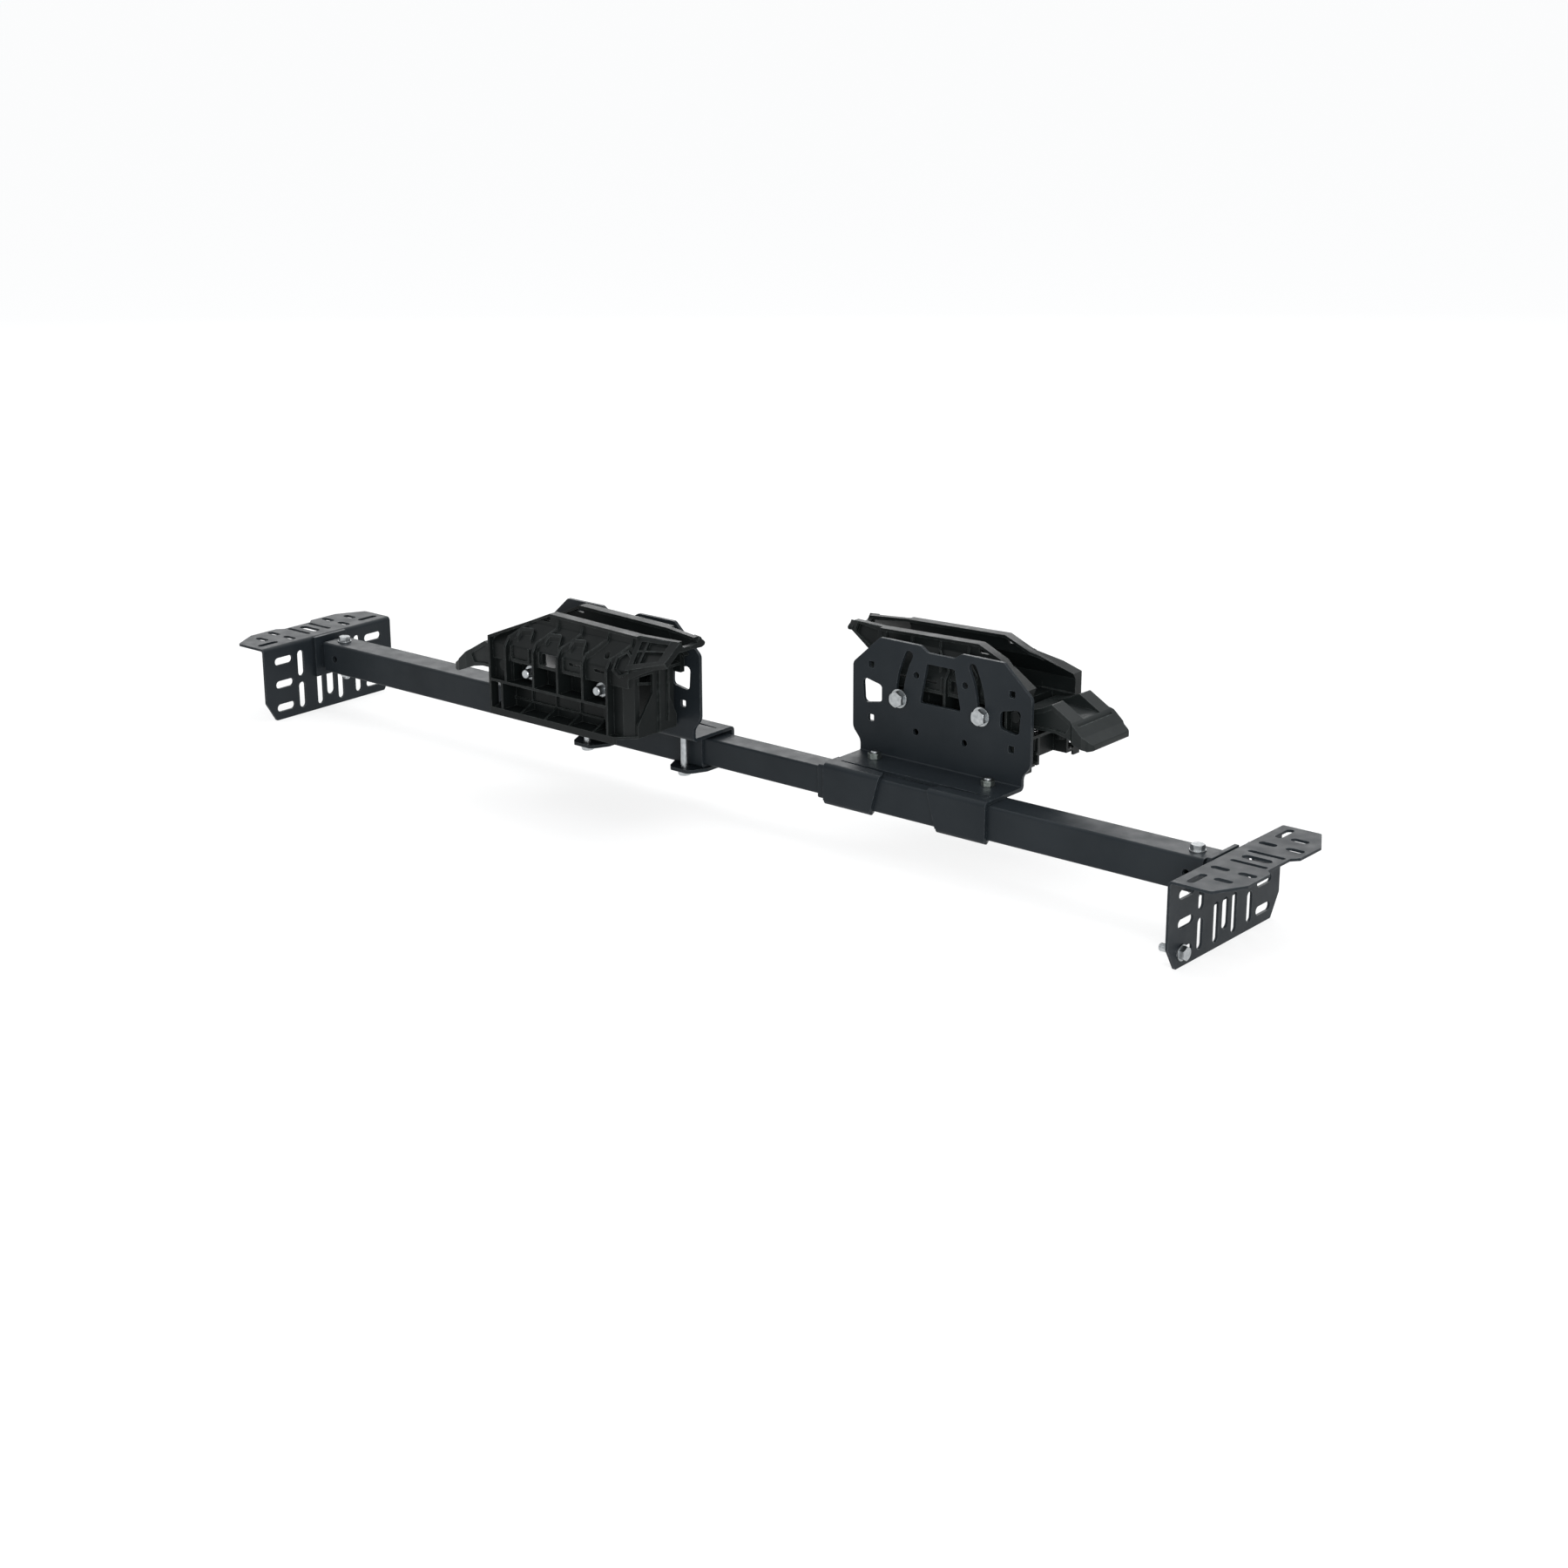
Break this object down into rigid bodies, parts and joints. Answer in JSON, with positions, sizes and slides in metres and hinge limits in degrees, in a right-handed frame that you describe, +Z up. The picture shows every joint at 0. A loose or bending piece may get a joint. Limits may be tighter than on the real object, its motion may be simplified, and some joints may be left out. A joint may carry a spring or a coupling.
{
  "type": "telescoping crossbar with twin saddle cradles",
  "caption": "Telescoping square crossbar with slotted end brackets and two clamped, tilting plastic cradles with sprung latch levers.",
  "frame": {"origin": "centre of the plan outline at the lowest edge of the end brackets", "axes": "+X along the crossbar towards the bracket that carries the loose mounting bolts, +Y towards the right-hand cradle, +Z up"},
  "size_m": [1.4406, 0.294, 0.2304],
  "materials": {
    "powder_coat": "satin black powder coat",
    "black_plastic": "moulded, fine grain",
    "lever_plastic": "moulded, fine grain",
    "zinc_plate": "bright zinc plate",
    "dark_zinc": "dull zinc plate",
    "spring_steel": "oiled steel"
  },
  "bodies": {
    "crossbar_core": {"inner_tube": "powder_coat"},
    "left_arm": {"left_outer_tube": "powder_coat", "left_end_bracket": "powder_coat", "left_end_doubler": "powder_coat", "left_end_stub": "powder_coat", "left_end_washer": "zinc_plate", "left_end_bolt": "zinc_plate", "left_end_nut": "zinc_plate"},
    "left_saddle": {"left_saddle_bracket": "powder_coat", "left_clamp_bolts": "zinc_plate", "left_clamp_nuts": "dark_zinc"},
    "left_cradle": {"left_cradle_near_half": "black_plastic", "left_cradle_far_half": "black_plastic", "left_tilt_bolts": "zinc_plate", "left_tilt_washers": "zinc_plate", "left_tilt_nuts": "zinc_plate", "left_lever_pin": "spring_steel", "left_lever_springs": "spring_steel"},
    "left_latch": {"left_latch_lever": "lever_plastic"},
    "right_arm": {"right_outer_tube": "powder_coat", "right_end_bracket": "powder_coat", "right_end_doubler": "powder_coat", "right_end_stub": "powder_coat", "right_end_washer": "zinc_plate", "right_end_bolt": "zinc_plate", "right_end_nut": "zinc_plate", "right_mounting_bolts": "zinc_plate", "right_mounting_washers": "zinc_plate"},
    "right_saddle": {"right_saddle_bracket": "powder_coat", "right_clamp_bolts": "zinc_plate", "right_clamp_nuts": "dark_zinc"},
    "right_cradle": {"right_cradle_near_half": "black_plastic", "right_cradle_far_half": "black_plastic", "right_tilt_bolts": "zinc_plate", "right_tilt_washers": "zinc_plate", "right_tilt_nuts": "zinc_plate", "right_lever_pin": "spring_steel", "right_lever_springs": "spring_steel"},
    "right_latch": {"right_latch_lever": "lever_plastic"}
  },
  "joints": [
    {"name": "left_arm_slide", "type": "slide", "parent": "crossbar_core", "child": "left_arm", "axis": [-1, 0, 0], "range_m": [-0.08, 0.12]},
    {"name": "left_saddle_slide", "type": "slide", "parent": "left_arm", "child": "left_saddle", "axis": [-1, 0, 0], "range_m": [0, 0.395]},
    {"name": "left_cradle_tilt", "type": "hinge", "parent": "left_saddle", "child": "left_cradle", "pos_m": [-0.0485, 0, 0.161], "axis": [0, 1, 0], "range_deg": [0, 27]},
    {"name": "left_latch_hinge", "type": "hinge", "parent": "left_cradle", "child": "left_latch", "pos_m": [-0.1925, -0.09665, 0.165], "axis": [0, -1, 0], "range_deg": [0, 20], "stiffness_Nm_per_rad": 1, "springref_deg": -28.65, "deforming": ["left_lever_springs"]},
    {"name": "right_arm_slide", "type": "slide", "parent": "crossbar_core", "child": "right_arm", "axis": [1, 0, 0], "range_m": [-0.08, 0.12]},
    {"name": "right_saddle_slide", "type": "slide", "parent": "right_arm", "child": "right_saddle", "axis": [1, 0, 0], "range_m": [0, 0.225]},
    {"name": "right_cradle_tilt", "type": "hinge", "parent": "right_saddle", "child": "right_cradle", "pos_m": [0.223, 0, 0.161], "axis": [0, -1, 0], "range_deg": [0, 27]},
    {"name": "right_latch_hinge", "type": "hinge", "parent": "right_cradle", "child": "right_latch", "pos_m": [0.367, 0.09665, 0.165], "axis": [0, 1, 0], "range_deg": [0, 20], "stiffness_Nm_per_rad": 1, "springref_deg": -28.65, "deforming": ["right_lever_springs"]}
  ]
}
